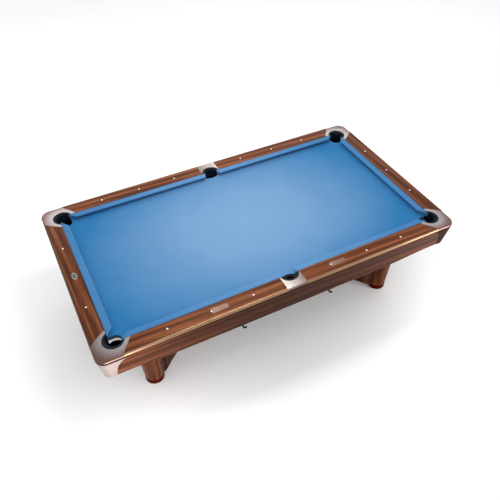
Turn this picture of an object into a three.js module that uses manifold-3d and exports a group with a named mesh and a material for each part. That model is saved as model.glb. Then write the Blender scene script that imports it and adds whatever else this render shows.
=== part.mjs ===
// Nine-foot pocket billiard table, as an assembly of its separate pieces.
// Millimetres, +Z up. The origin is on the floor under the table's centre,
// +X runs along the table's length and -Y is its front side.
import * as THREE from 'three';
import { LoftGeometry } from 'three/addons/geometries/LoftGeometry.js';
import { mergeVertices } from 'three/addons/utils/BufferGeometryUtils.js';
import Module from 'manifold-3d';

const wasm = await Module();
wasm.setup();

// ---------------------------------------------------------------- driving dimensions
const GAP = 0.3; // clearance between touching pieces
const MARGIN = 30; // how far a cutting outline runs past the table

const RAIL_TOP = 820; // height of the rails above the floor
const BED_TOP = 778; // height of the playing surface
const TABLE_X = 1447; // half of the overall length
const TABLE_Y = 807; // half of the overall width
const CORNER_R = 70; // plan radius of the table's corners
const SIDE_REGION = 79; // half of a side casting's length
const RAIL_FOOT_START = 99; // the rail's foot under the cushion begins clear of the side pocket

const NOSE_X = 1270; // half of the playing length, cushion nose to cushion nose
const NOSE_Y = 635; // half of the playing width
const NOSE_HEIGHT = 36.5; // cushion nose above the bed
const WOOD_X = 1323.3; // cushion cloth meets the end rails here
const WOOD_Y = 683.3; // cushion cloth meets the long rails here

const TRIM_DEPTH = 10.7; // bright strip along the rails' outer edge
const TRIM_HEIGHT = 25;
const RECESS_HEIGHT = 10; // dark shadow gap between strip and apron

const CLOTH_THICK = 1.2;
const SLATE_THICK = 30;
const SLATE_X = 1375;
const SLATE_Y = 735;
const SLATE_JOINT_X = 458;

const CORNER_POCKET = { x: 1296, y: 661, liner: 73, hole: 56, shift: 16.5, drop: 53 };
const SIDE_POCKET = { y: 669, liner: 76, hole: 55, shift: 8, dropY: 740.5, drop: 94.5 };
const CORNER_MOUTH = 82; // cushion noses stop this far short of the corner, each way
const CORNER_CUT = 38; // degrees between nose line and corner jaw
const CORNER_CHOP = 1907; // the bed ends at a corner where |x| + |y| reaches this
const SIDE_MOUTH = 65; // half of the side pocket's mouth
const SIDE_CUT = 76; // degrees between nose line and side jaw

const LINER_TOP = RAIL_TOP - 1;
const LINER_DEPTH = 74;
const BUCKET = { radius: 66, wall: 4, top: 744.5, floor: 604, lip: 706, taper: 6, window: 10 };

const APRON_TOP = RAIL_TOP - TRIM_HEIGHT - RECESS_HEIGHT;
const APRON_BOTTOM = 570;
const APRON_RISE = 30; // how far the apron's foot sweeps up towards the table's corners
const RISE_START = 647; // distances from the corner between which it rises
const RISE_END = 197;
const APRON_LEAN = 34.6; // how far the apron's foot stands in from its top
const APRON_THICK = 20;
const APRON_EDGE = 3.5; // apron top stands in from the strip
const APRON_FOOT_R = 48; // plan radius of the apron's lower corners
const COVER_THICK = 3;
const COVER_FOOT = 110; // a corner cover's reach from the table's corner, at its foot
const COVER_HEAD = 192; // and at its top

const FRAME_TOP = BED_TOP - CLOTH_THICK - SLATE_THICK - 2 * GAP;
const FRAME_HEIGHT = 70;
const FRAME_X = 1205;
const FRAME_Y = 585;
const BEAM_WIDTH = 50;
const CROSS_BEAM_X = 400;

const FOOT_X = 1053;
const FOOT_Y = 501;
const FOOT_R = 74;
const FOOT_HEIGHT = 48;
const STEM_R = 12;
const STEM_TOP = 150;
const LEG_TOP = FRAME_TOP - FRAME_HEIGHT - GAP;

const BADGE = { x: -1372, halfWidth: 19.5, halfLength: 34, thick: 2 };
const HOOK = { rod: 6.5, plate: 10.5, thick: 3, y: -759 };
const HOOK_PLACES = { front_left: -418, front_right: 316 };

const SIDES = [['front', -1], ['back', 1]];
const ENDS = [['left', -1], ['right', 1]];

// ---------------------------------------------------------------- materials
const paint = (color, roughness, metalness) =>
  new THREE.MeshStandardMaterial({ color, roughness, metalness });
const MATERIALS = {
  walnut: paint(0x89543c, 0.45, 0),
  strip: paint(0xc8a888, 0.35, 0.9),
  casting: paint(0xb4aba8, 0.35, 0.9),
  liner: paint(0x2a2e32, 0.6, 0),
  bucket: paint(0x141414, 0.5, 0),
  cloth: paint(0x5f9fd8, 0.95, 0),
  cushion: paint(0x4288c8, 0.95, 0),
  slate: paint(0x5d6268, 0.8, 0),
  timber: paint(0xb58f62, 0.7, 0),
  foot: paint(0x3a0d04, 0.4, 0),
  hook: paint(0x101010, 0.4, 0.6),
  badge: paint(0xb8b4b0, 0.3, 0.9),
};

// ---------------------------------------------------------------- solids
// a closed geometry as a solid that can be cut and joined
function solid(geometry) {
  const bare = new THREE.BufferGeometry();
  bare.setAttribute('position', geometry.attributes.position);
  bare.setIndex(geometry.index);
  const merged = mergeVertices(bare, 1e-3);
  return new wasm.Manifold(new wasm.Mesh({
    numProp: 3,
    vertProperties: new Float32Array(merged.attributes.position.array),
    triVerts: new Uint32Array(merged.index.array),
  }));
}

function geometryOf(body) {
  const mesh = body.getMesh();
  const geometry = new THREE.BufferGeometry();
  geometry.setAttribute('position', new THREE.BufferAttribute(mesh.vertProperties, 3));
  geometry.setIndex(new THREE.BufferAttribute(mesh.triVerts, 1));
  geometry.computeVertexNormals();
  return geometry;
}

// the same piece for another quarter of the table: signX and signY are 1 or -1
function mirrored(geometry, signX, signY) {
  const copy = geometry.clone().scale(signX, signY, 1);
  if (signX * signY < 0) {
    const index = copy.index.array;
    for (let i = 0; i < index.length; i += 3) {
      [index[i], index[i + 1]] = [index[i + 1], index[i]];
    }
    copy.computeVertexNormals();
  }
  return copy;
}

// a plan outline raised between two heights
function plate(shape, bottom, top, curveSegments = 6) {
  const depth = top - bottom;
  const settings = { depth, bevelEnabled: false, curveSegments };
  return new THREE.ExtrudeGeometry(shape, settings).translate(0, 0, bottom);
}

function polygon(points) {
  return new THREE.Shape(points.map(([x, y]) => new THREE.Vector2(x, y)));
}

function rectangle(x0, y0, x1, y1) {
  return polygon([[x0, y0], [x1, y0], [x1, y1], [x0, y1]]);
}

function disc(x, y, radius, bottom, top, sides = 32) {
  const height = top - bottom;
  return new THREE.CylinderGeometry(radius, radius, height, sides)
    .rotateX(Math.PI / 2)
    .translate(x, y, (top + bottom) / 2);
}

// an oval drum of the badge's plan, grown by an allowance all round
function badgeOval(x, allowance, bottom, top) {
  const { halfWidth, halfLength } = BADGE;
  return disc(0, 0, 1, bottom, top, 36)
    .scale(halfWidth + allowance, halfLength + allowance, 1)
    .translate(x, 0, 0);
}

function turned(profile, sides) {
  const points = profile.map(([r, z]) => new THREE.Vector2(r, z));
  return new THREE.LatheGeometry(points, sides).rotateX(Math.PI / 2);
}

// the table's plan outline at one height, stood in from the overall size
function outlineRing(inset, radius, z, cornerSteps = 8) {
  const ring = [];
  const centreX = TABLE_X - inset - radius;
  const centreY = TABLE_Y - inset - radius;
  const quarters = [[1, 1], [-1, 1], [-1, -1], [1, -1]];
  quarters.forEach(([signX, signY], quarter) => {
    for (let step = 0; step <= cornerSteps; step++) {
      const angle = (quarter + step / cornerSteps) * Math.PI / 2;
      const x = signX * centreX + radius * Math.cos(angle);
      const y = signY * centreY + radius * Math.sin(angle);
      ring.push(new THREE.Vector3(x, y, z));
    }
  });
  return ring;
}

const loft = (rings) => new LoftGeometry(rings, { capStart: true, capEnd: true });

// ---------------------------------------------------------------- plan regions, first quarter
// the curved joint from a long rail to its corner casting, from cloth to outer edge
const LONG_JOINT = [[1186, WOOD_Y], [1211, 720], [1244, 760], [1264, 796], [1270, TABLE_Y + MARGIN]];
// the same joint on an end rail
const END_JOINT = [[WOOD_X, 559], [1358, 580], [1396, 610], [1436, 641], [TABLE_X + MARGIN, 651]];

const shifted = (points, dx, dy) => points.map(([x, y]) => [x + dx, y + dy]);

function cornerRegion() {
  const longJoint = shifted(LONG_JOINT, 2 * GAP, GAP);
  const endJoint = shifted(END_JOINT, GAP, 2 * GAP).reverse();
  const outer = [[TABLE_X + MARGIN, TABLE_Y + MARGIN]];
  const inner = [[WOOD_X + GAP, WOOD_Y + GAP]];
  return polygon([...inner, ...longJoint, ...outer, ...endJoint].reverse());
}

function longRailRegion() {
  const side = SIDE_REGION + GAP;
  const joint = LONG_JOINT.slice(0, 4);
  return polygon([[side, WOOD_Y], ...joint, [side, LONG_JOINT[3][1]]]);
}

function endRailRegion() {
  const joint = END_JOINT.slice(0, 4);
  const nearJoint = joint.map(([x, y]) => [x, -y]);
  return polygon([...nearJoint, ...joint.reverse()]);
}

// ---------------------------------------------------------------- rails, strips and castings
// everything at rail level is cut from this slab with its rounded outer edge
function rimSlab() {
  const profile = [[2, TRIM_HEIGHT], [0, 22], [0, 13], [1.5, 7], [4.5, 2.5], [TRIM_DEPTH, 0]];
  const ring = ([inset, below]) => outlineRing(inset, CORNER_R - inset, RAIL_TOP - below);
  return solid(loft(profile.map(ring)));
}

// the part of the rails and castings below the strip, standing in behind the shadow gap
function recessSlab() {
  const inset = TRIM_DEPTH + GAP;
  const levels = [APRON_TOP + GAP, RAIL_TOP - TRIM_HEIGHT + GAP];
  return solid(loft(levels.map((z) => outlineRing(inset, CORNER_R - inset, z))));
}

const RIM = rimSlab();
const RIM_WITH_RECESS = RIM.add(recessSlab());

function railFrom(region, lowerRegion) {
  const upper = RIM_WITH_RECESS.intersect(solid(plate(region, APRON_TOP, RAIL_TOP + 1)));
  const lower = solid(plate(lowerRegion, BED_TOP + GAP, APRON_TOP + 2 * GAP));
  return upper.add(lower);
}

function longRail() {
  const foot = rectangle(RAIL_FOOT_START, WOOD_Y, LONG_JOINT[0][0], SLATE_Y);
  const woodEdge = TABLE_Y - TRIM_DEPTH - GAP;
  const strip = rectangle(0, woodEdge, TABLE_X, TABLE_Y + MARGIN);
  const rail = railFrom(longRailRegion(), foot);
  return geometryOf(rail.subtract(solid(plate(strip, APRON_TOP, RAIL_TOP + 1))));
}

function endRail(withBadge) {
  const half = END_JOINT[0][1];
  const foot = rectangle(WOOD_X, -half, SLATE_X, half);
  const rail = railFrom(endRailRegion(), foot);
  if (!withBadge) {
    return geometryOf(rail);
  }
  const depth = RAIL_TOP - BADGE.thick - GAP;
  const seat = solid(badgeOval(-BADGE.x, GAP, depth, RAIL_TOP + 1));
  return geometryOf(rail.subtract(seat));
}

function longStrip() {
  const inner = TABLE_Y - TRIM_DEPTH;
  const end = LONG_JOINT[3][0];
  const side = SIDE_REGION + GAP;
  const outer = TABLE_Y + MARGIN;
  const region = polygon([[side, inner], [end, inner], [end + 6, outer], [side, outer]]);
  return geometryOf(RIM.intersect(solid(plate(region, 0, RAIL_TOP + 1))));
}

function endStrip() {
  const inner = TABLE_X - TRIM_DEPTH;
  const half = END_JOINT[3][1];
  const outer = TABLE_X + MARGIN;
  const region = polygon([[inner, -half], [outer, -half - 10], [outer, half + 10], [inner, half]]);
  return geometryOf(RIM.intersect(solid(plate(region, 0, RAIL_TOP + 1))));
}

function cornerCasting() {
  const { x, y, liner } = CORNER_POCKET;
  const body = RIM_WITH_RECESS.intersect(solid(plate(cornerRegion(), APRON_TOP, RAIL_TOP + 1)));
  return geometryOf(body.subtract(solid(disc(x, y, liner + GAP, 0, RAIL_TOP + 1, 40))));
}

function sideCasting() {
  const { y, liner } = SIDE_POCKET;
  const region = rectangle(-SIDE_REGION, WOOD_Y + GAP, SIDE_REGION, TABLE_Y + MARGIN);
  const body = RIM_WITH_RECESS.intersect(solid(plate(region, APRON_TOP, RAIL_TOP + 1)));
  return geometryOf(body.subtract(solid(disc(0, y, liner + GAP, 0, RAIL_TOP + 1, 40))));
}

// ---------------------------------------------------------------- bed and cushions
// everything that the corner pocket takes out of the bed: its drop and the slate's lost corner
function cornerDrop() {
  const { x, y, shift, drop } = CORNER_POCKET;
  const inward = shift * Math.SQRT1_2;
  const far = 2 * TABLE_X;
  const sideY = SLATE_Y + MARGIN;
  const endX = SLATE_X + MARGIN;
  const corner = polygon([[CORNER_CHOP - sideY, sideY], [endX, CORNER_CHOP - endX], [far, far]]);
  const hole = disc(x - inward, y - inward, drop, 0, RAIL_TOP);
  return solid(hole).add(solid(plate(corner, 0, RAIL_TOP)));
}

function sideDrop() {
  return solid(disc(0, SIDE_POCKET.dropY, SIDE_POCKET.drop, 0, RAIL_TOP));
}

const mirroredSolid = (body, signX, signY) => solid(mirrored(geometryOf(body), signX, signY));

function withoutPockets(body) {
  const corner = cornerDrop();
  const side = sideDrop();
  let result = body;
  for (const [, signY] of SIDES) {
    result = result.subtract(mirroredSolid(side, 1, signY));
    for (const [, signX] of ENDS) {
      result = result.subtract(mirroredSolid(corner, signX, signY));
    }
  }
  return geometryOf(result);
}

function slate(x0, x1) {
  const top = BED_TOP - CLOTH_THICK - GAP;
  const slab = plate(rectangle(x0, -SLATE_Y, x1, SLATE_Y), top - SLATE_THICK, top);
  return withoutPockets(solid(slab));
}

function bedCloth() {
  const sheet = rectangle(-SLATE_X, -SLATE_Y, SLATE_X, SLATE_Y);
  return withoutPockets(solid(plate(sheet, BED_TOP - CLOTH_THICK, BED_TOP)));
}

// section of a cushion: depth in from the rail's face, then height above the floor
function cushionSection(depth) {
  const top = RAIL_TOP - 2 * GAP;
  const foot = BED_TOP + 1;
  const undercut = 22;
  const nose = BED_TOP + NOSE_HEIGHT;
  const roundNose = [[1, -2.5], [0, 0], [1, 2], [5, 3.5]].map(([back, up]) => [depth - back, nose + up]);
  return polygon([[0, foot], [depth - undercut, foot], ...roundNose, [0, top]]);
}

// a cushion along +X with its back on y = 0 and its nose towards -Y, cut by the plan outline
function cushion(depth, plan) {
  const length = 2 * TABLE_X;
  const settings = { depth: length, bevelEnabled: false };
  const bar = new THREE.ExtrudeGeometry(cushionSection(depth), settings);
  const axes = [[0, -1, 0], [0, 0, 1], [-1, 0, 0]].map((axis) => new THREE.Vector3(...axis));
  const upright = new THREE.Matrix4().makeBasis(...axes);
  bar.applyMatrix4(upright).translate(length / 2, 0, 0);
  return geometryOf(solid(bar).intersect(solid(plate(plan, 0, RAIL_TOP + 1))));
}

// how far a jaw cut at this angle runs along the table over the cushion's depth
const jawRun = (depth, degrees) => depth / Math.tan(THREE.MathUtils.degToRad(degrees));

function longCushion() {
  const depth = WOOD_Y - GAP - NOSE_Y;
  const corner = NOSE_X - CORNER_MOUTH;
  const nose = [[SIDE_MOUTH, -depth], [corner, -depth]];
  const back = [[corner + jawRun(depth, CORNER_CUT), 0], [SIDE_MOUTH - jawRun(depth, SIDE_CUT), 0]];
  return cushion(depth, polygon([...nose, ...back]));
}

function endCushion() {
  const depth = WOOD_X - GAP - NOSE_X;
  const corner = NOSE_Y - CORNER_MOUTH;
  const back = corner + jawRun(depth, CORNER_CUT);
  return cushion(depth, polygon([[-corner, -depth], [corner, -depth], [back, 0], [-back, 0]]));
}

// ---------------------------------------------------------------- pockets
// crescent of rubber round a pocket: its hole stands in towards the bed from its outer edge
function linerCrescent(x, y, radius, hole, shiftX, shiftY) {
  const bottom = LINER_TOP - LINER_DEPTH;
  const ring = solid(disc(x, y, radius, bottom, LINER_TOP, 40));
  return ring.subtract(solid(disc(x - shiftX, y - shiftY, hole, bottom - 1, LINER_TOP + 1, 32)));
}

function cornerLiner() {
  const { x, y, liner, hole, shift } = CORNER_POCKET;
  const inward = shift * Math.SQRT1_2;
  const crescent = linerCrescent(x, y, liner, hole, inward, inward);
  const field = solid(plate(rectangle(0, 0, WOOD_X + GAP, WOOD_Y + GAP), 0, RAIL_TOP));
  return geometryOf(crescent.subtract(field));
}

function sideLiner() {
  const { y, liner, hole, shift } = SIDE_POCKET;
  const crescent = linerCrescent(0, y, liner, hole, 0, shift);
  const field = solid(plate(rectangle(-TABLE_X, 0, TABLE_X, WOOD_Y + GAP), 0, RAIL_TOP));
  return geometryOf(crescent.subtract(field));
}

// tub under a pocket, standing on its own axis, with a low lip on its +Y side
function bucket() {
  const { radius, wall, top, floor, taper } = BUCKET;
  const outside = [[0, floor], [radius - taper, floor], [radius, top]];
  const inside = [[radius - wall, top], [radius - wall - taper, floor + wall], [0, floor + wall]];
  return turned([...outside, ...inside], 28);
}

// a corner's bucket has its wall cut lower on the side towards the bed
function cornerBucket() {
  const { radius, window, lip, top } = BUCKET;
  const opening = plate(rectangle(-radius - 1, window, radius + 1, 2 * radius), lip, top + 1);
  return geometryOf(solid(bucket()).subtract(solid(opening)));
}

// ---------------------------------------------------------------- apron
function apronSlab(offset) {
  const top = outlineRing(APRON_EDGE - offset, CORNER_R - APRON_EDGE + offset, APRON_TOP);
  const foot = outlineRing(APRON_EDGE + APRON_LEAN - offset, APRON_FOOT_R + offset, APRON_BOTTOM);
  return solid(loft([foot, top]));
}

function apronRing() {
  const inset = APRON_EDGE + APRON_THICK;
  const top = outlineRing(inset, CORNER_R - APRON_THICK, APRON_TOP + 1);
  const foot = outlineRing(inset + APRON_LEAN, APRON_FOOT_R - APRON_THICK, APRON_BOTTOM - 1);
  return apronSlab(0).subtract(solid(loft([foot, top])));
}

const APRON_RING = apronRing();

// a shape drawn in x and z, drawn out along Y right across the table
function upright(shape) {
  const depth = 2 * TABLE_X;
  const settings = { depth, bevelEnabled: false, curveSegments: 8 };
  return new THREE.ExtrudeGeometry(shape, settings).rotateX(Math.PI / 2).translate(0, TABLE_X, 0);
}

// the space under one half of an apron, whose foot sweeps up towards the corner
function footSweep(cornerAt) {
  const start = cornerAt - RISE_START;
  const end = cornerAt - RISE_END;
  const ease = (RISE_START - RISE_END) * 0.37;
  const low = APRON_BOTTOM;
  const high = APRON_BOTTOM + APRON_RISE;
  const shape = new THREE.Shape();
  shape.moveTo(start, low - 2);
  shape.lineTo(cornerAt + MARGIN, low - 2);
  shape.lineTo(cornerAt + MARGIN, high);
  shape.lineTo(end, high);
  shape.bezierCurveTo(end - ease, high, start + ease, low, start, low);
  return upright(shape);
}

function sweptFoot(region, sweep) {
  const board = APRON_RING.intersect(solid(plate(region, 0, RAIL_TOP)));
  const opposite = sweep.clone().rotateZ(Math.PI);
  return board.subtract(solid(sweep)).subtract(solid(opposite));
}

// mitred at the corners, on the 45 degree line through them
function longApron() {
  const reach = TABLE_Y + MARGIN;
  const slant = TABLE_X - TABLE_Y - 2 * GAP;
  const outer = [[slant + reach, reach], [-slant - reach, reach]];
  const region = polygon([[-slant, 0], [slant, 0], ...outer]);
  return geometryOf(sweptFoot(region, footSweep(TABLE_X)));
}

function endApron() {
  const start = TABLE_X - TABLE_Y;
  const reach = TABLE_X + MARGIN;
  const region = polygon([[start, 0], [reach, start - reach], [reach, reach - start]]);
  return geometryOf(sweptFoot(region, footSweep(TABLE_Y).rotateZ(Math.PI / 2)));
}

// outline of a corner cover seen square on: its edge sweeps out towards the rail's joint
function coverFace(cornerAt) {
  const bottom = APRON_BOTTOM + APRON_RISE;
  const top = APRON_TOP + 1;
  const shape = new THREE.Shape();
  shape.moveTo(cornerAt + MARGIN, bottom);
  shape.lineTo(cornerAt - COVER_FOOT, bottom);
  shape.bezierCurveTo(cornerAt - 116, 700, cornerAt - 126, 755, cornerAt - COVER_HEAD, top);
  shape.lineTo(cornerAt + MARGIN, top);
  return shape;
}

function cornerCover() {
  const shell = apronSlab(COVER_THICK + GAP).subtract(apronSlab(GAP));
  const long = solid(upright(coverFace(TABLE_X)));
  const end = solid(upright(coverFace(TABLE_Y)).rotateZ(Math.PI / 2));
  return geometryOf(shell.intersect(long).intersect(end));
}

// ---------------------------------------------------------------- frame, legs and feet
function frame() {
  const bottom = FRAME_TOP - FRAME_HEIGHT;
  const beam = (x0, y0, x1, y1) => solid(plate(rectangle(x0, y0, x1, y1), bottom, FRAME_TOP));
  let ladder = beam(-FRAME_X, FRAME_Y - BEAM_WIDTH, FRAME_X, FRAME_Y);
  ladder = ladder.add(beam(-FRAME_X, -FRAME_Y, FRAME_X, BEAM_WIDTH - FRAME_Y));
  const starts = [-FRAME_X, -CROSS_BEAM_X, CROSS_BEAM_X - BEAM_WIDTH, FRAME_X - BEAM_WIDTH];
  for (const x of starts) {
    ladder = ladder.add(beam(x, -FRAME_Y, x + BEAM_WIDTH, FRAME_Y));
  }
  return geometryOf(ladder);
}

// leg stations from foot to frame: height, then the round column's radius, reach towards the
// table's middle along X and along Y, then the same for the wing's inner edge
const LEG_STATIONS = [
  { height: [0, 0, FOOT_HEIGHT + GAP], column: [73, 0, 0], wing: [60, 62, 32] },
  { height: [0, 0, 80], column: [74, -1, 0], wing: [60, 140, 84] },
  { height: [0, 0, 120], column: [76, -3, 1], wing: [60, 233, 132] },
  { height: [0, 0, 180], column: [78, -6, 2], wing: [60, 314, 171] },
  { height: [0, 0, 280], column: [84, -11, 3], wing: [60, 370, 199] },
  { height: [0, 0, 430], column: [90, -15, 5], wing: [60, 396, 214] },
  { height: [0, 0, LEG_TOP], column: [97, -20, 7], wing: [60, 404, 220] },
];
const WING_INSET = 0.75; // the wing's flank starts this far out on the column
const LEG_SECTIONS = 10;
const COLUMN_SIDES = 20;

// outline round two circles and the straight flanks between them
function flankedOutline([r0, x0, y0], [r1, x1, y1], z, steps) {
  const heading = Math.atan2(y1 - y0, x1 - x0);
  const opening = Math.acos((r0 - r1) / Math.hypot(x1 - x0, y1 - y0));
  const points = [];
  const arc = (r, x, y, from, to) => {
    for (let i = 0; i <= steps; i++) {
      const angle = from + (to - from) * i / steps;
      points.push(new THREE.Vector3(x + r * Math.cos(angle), y + r * Math.sin(angle), z));
    }
  };
  arc(r1, x1, y1, heading - opening, heading + opening);
  arc(r0, x0, y0, heading + opening, heading + 2 * Math.PI - opening);
  return points;
}

function stationCurve(key) {
  const points = LEG_STATIONS.map((station) => new THREE.Vector3(...station[key]));
  return new THREE.CatmullRomCurve3(points);
}

function roundOutline([r, x, y], z, sides) {
  const turns = Array.from({ length: sides }, (_, side) => side / sides * 2 * Math.PI);
  return turns.map((angle) => (
    new THREE.Vector3(x + r * Math.cos(angle), y + r * Math.sin(angle), z)));
}

// the leg of the first quarter turned so that +X and +Y point at the table's middle
function leg() {
  const heights = stationCurve('height');
  const columns = stationCurve('column');
  const wings = stationCurve('wing');
  const columnRings = [];
  const wingRings = [];
  for (let i = 0; i <= LEG_SECTIONS; i++) {
    const t = i / LEG_SECTIONS;
    const { z } = heights.getPoint(t);
    const [r, x, y] = columns.getPoint(t).toArray();
    columnRings.push(roundOutline([r, x, y], z, COLUMN_SIDES));
    wingRings.push(flankedOutline([r * WING_INSET, x, y], wings.getPoint(t).toArray(), z, 7));
  }
  const bore = disc(0, 0, STEM_R + 1, 0, STEM_TOP + 30, 16);
  const body = solid(loft(columnRings)).add(solid(loft(wingRings)));
  return geometryOf(body.subtract(solid(bore)));
}

// levelling foot: a round cup on a threaded stem
function foot() {
  const rim = [[6, 0], [1, 3], [0, 10], [0, 30], [3, 42], [9, FOOT_HEIGHT]];
  const cup = rim.map(([inset, z]) => [FOOT_R - inset, z]);
  const stem = [[STEM_R, FOOT_HEIGHT], [STEM_R, STEM_TOP]];
  return turned([[0, 0], ...cup, ...stem, [0, STEM_TOP]], 28);
}

// ---------------------------------------------------------------- small fittings
// a rod that drops from a round plate under the apron and curls up at its tip
function hook() {
  const bends = [[0, -2], [4, -18], [11, -37], [19, -48], [28, -50], [36, -43]];
  const route = new THREE.CatmullRomCurve3(bends.map(([x, z]) => new THREE.Vector3(x, 0, z)));
  const section = new THREE.Shape().absarc(0, 0, HOOK.rod, 0, 2 * Math.PI);
  const rod = new THREE.ExtrudeGeometry(section, { steps: 14, extrudePath: route, curveSegments: 4 });
  return geometryOf(solid(rod).add(solid(disc(0, 0, HOOK.plate, -HOOK.thick, 0, 16))));
}

// ---------------------------------------------------------------- assembly
const table = new THREE.Group();

function place(name, geometry, material, x = 0, y = 0, z = 0, turn = 0) {
  const mesh = new THREE.Mesh(geometry, MATERIALS[material]);
  mesh.name = name;
  mesh.position.set(x, y, z);
  mesh.rotation.z = turn;
  table.add(mesh);
}

function placeBed() {
  const half = GAP / 2;
  place('slate_left', slate(-SLATE_X, -SLATE_JOINT_X - half), 'slate');
  place('slate_middle', slate(-SLATE_JOINT_X + half, SLATE_JOINT_X - half), 'slate');
  place('slate_right', slate(SLATE_JOINT_X + half, SLATE_X), 'slate');
  place('bed_cloth', bedCloth(), 'cloth');
}

function placeQuarter(side, signY, end, signX) {
  const quarter = `${side}_${end}`;
  const mirror = (geometry) => mirrored(geometry, signX, signY);
  const inward = CORNER_POCKET.shift * Math.SQRT1_2;
  const bucketX = signX * (CORNER_POCKET.x - inward);
  const bucketY = signY * (CORNER_POCKET.y - inward);
  const towardsBed = Math.atan2(-signY, -signX) - Math.PI / 2;
  place(`rail_${quarter}`, mirror(longRail()), 'walnut');
  place(`edge_strip_${quarter}`, mirror(longStrip()), 'strip');
  place(`cushion_${quarter}`, mirror(longCushion()), 'cushion', 0, signY * (WOOD_Y - GAP));
  place(`corner_casting_${quarter}`, mirror(cornerCasting()), 'casting');
  place(`corner_liner_${quarter}`, mirror(cornerLiner()), 'liner');
  place(`corner_bucket_${quarter}`, cornerBucket(), 'bucket', bucketX, bucketY, 0, towardsBed);
  place(`apron_corner_${quarter}`, mirror(cornerCover()), 'casting');
  place(`leg_${quarter}`, mirrored(leg(), -signX, -signY), 'walnut', signX * FOOT_X, signY * FOOT_Y);
  place(`levelling_foot_${quarter}`, foot(), 'foot', signX * FOOT_X, signY * FOOT_Y);
}

function placeSide(side, signY) {
  const bucketY = signY * (SIDE_POCKET.y - SIDE_POCKET.shift);
  place(`side_casting_${side}`, mirrored(sideCasting(), 1, signY), 'casting');
  place(`side_liner_${side}`, mirrored(sideLiner(), 1, signY), 'liner');
  place(`side_bucket_${side}`, bucket(), 'bucket', 0, bucketY);
  place(`apron_${side}`, mirrored(longApron(), 1, signY), 'walnut');
}

function placeEnd(end, signX) {
  const quarterTurn = -signX * Math.PI / 2;
  place(`rail_end_${end}`, mirrored(endRail(signX < 0), signX, 1), 'walnut');
  place(`edge_strip_end_${end}`, mirrored(endStrip(), signX, 1), 'strip');
  place(`cushion_end_${end}`, endCushion(), 'cushion', signX * (WOOD_X - GAP), 0, 0, quarterTurn);
  place(`apron_end_${end}`, mirrored(endApron(), signX, 1), 'walnut');
}

function placeFittings() {
  const badge = badgeOval(0, 0, RAIL_TOP - BADGE.thick, RAIL_TOP + GAP);
  place('frame', frame(), 'timber');
  place('end_badge', badge, 'badge', BADGE.x);
  for (const [name, x] of Object.entries(HOOK_PLACES)) {
    place(`hook_${name}`, hook(), 'hook', x, HOOK.y, APRON_BOTTOM - GAP);
  }
}

placeBed();
for (const [side, signY] of SIDES) {
  placeSide(side, signY);
  for (const [end, signX] of ENDS) {
    placeQuarter(side, signY, end, signX);
  }
}
for (const [end, signX] of ENDS) {
  placeEnd(end, signX);
}
placeFittings();

export default table;
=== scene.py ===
"""Looks of the pocket billiard table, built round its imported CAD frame."""
import math

import bmesh
import bpy
import numpy as np
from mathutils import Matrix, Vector


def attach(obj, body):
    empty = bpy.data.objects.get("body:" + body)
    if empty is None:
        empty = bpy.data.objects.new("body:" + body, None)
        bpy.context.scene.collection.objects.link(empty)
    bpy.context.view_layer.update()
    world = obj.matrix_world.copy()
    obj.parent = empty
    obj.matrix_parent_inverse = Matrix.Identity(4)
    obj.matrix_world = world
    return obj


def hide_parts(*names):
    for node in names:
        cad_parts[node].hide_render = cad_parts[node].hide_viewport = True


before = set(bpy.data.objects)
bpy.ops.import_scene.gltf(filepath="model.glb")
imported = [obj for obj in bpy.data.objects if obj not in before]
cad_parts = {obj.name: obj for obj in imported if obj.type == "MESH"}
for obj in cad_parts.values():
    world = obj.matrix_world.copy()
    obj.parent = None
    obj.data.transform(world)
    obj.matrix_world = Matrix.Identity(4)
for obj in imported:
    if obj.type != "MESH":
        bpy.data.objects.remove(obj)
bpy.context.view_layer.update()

# ---------------- sizes, in millimetres
MM = 0.001
GAP = 0.3
RAIL_TOP = 820
BED_TOP = 778
TABLE_X = 1447
TABLE_Y = 807
CORNER_R = 70
SIDE_REGION = 79
NOSE_X = 1270
NOSE_Y = 635
NOSE_HEIGHT = 36.5
WOOD_X = 1323.3
WOOD_Y = 683.3
TRIM_DEPTH = 10.7
TRIM_HEIGHT = 25
ROUND_DROP = 13
RECESS_INSET = TRIM_DEPTH + 0.5
RECESS_BACK = 42
SLATE_X = 1375
SLATE_Y = 735
CORNER_CHOP = 1907
CORNER_POCKET = {"x": 1296, "y": 661, "liner": 73, "hole": 56, "shift": 16.5, "drop": 53}
SIDE_POCKET = {"x": 0, "y": 669, "liner": 76, "hole": 55, "shift": 8, "drop_y": 740.5, "drop": 94.5}
CORNER_MOUTH = 82
CORNER_CUT = 38
SIDE_MOUTH = 65
SIDE_CUT = 76
LINER_TOP = 819
LINER_BOTTOM = 745
LIP_WIDTH = 3.5
BEAD_HEIGHT = 0.6
BUCKET = {"radius": 66, "wall": 4, "top": 744.5, "floor": 604, "lip": 706, "taper": 6, "window": 10}
APRON_TOP = 785
APRON_BOTTOM = 570
APRON_RISE = 30
RISE_START = 647
RISE_END = 197
APRON_LEAN = 34.6
APRON_THICK = 20
APRON_EDGE = 3.5
APRON_FOOT_R = 48
APRON_STATIONS = (40, 8)
COVER_THICK = 3
COVER_FOOT = APRON_BOTTOM + APRON_RISE
FOOT_X = 1053
FOOT_Y = 501
FOOT_HEIGHT = 48
STEM_R = 12
STEM_TOP = 150
LEG_TOP = 675.9
LONG_JOINT = [(1186, WOOD_Y), (1211, 720), (1244, 760), (1264, 796), (1270, TABLE_Y)]
END_JOINT = [(WOOD_X, 559), (1358, 580), (1396, 610), (1436, 641), (TABLE_X, 645)]
SIGHT_PITCH = 317.5
SIGHT_X = 1377.5
SIGHT_Y = 738.2
CASTING_CROWN = 6.5
CASTING_CROWN_REACH = 85
CUSHION_UNDERCUT_DEGREES = 11
CUSHION_ROUNDING = 2.8
HOOKS = {"front_left": -418, "front_right": 316}
HOOK_Y = -759
HOOK_ROD = 6.5
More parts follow.
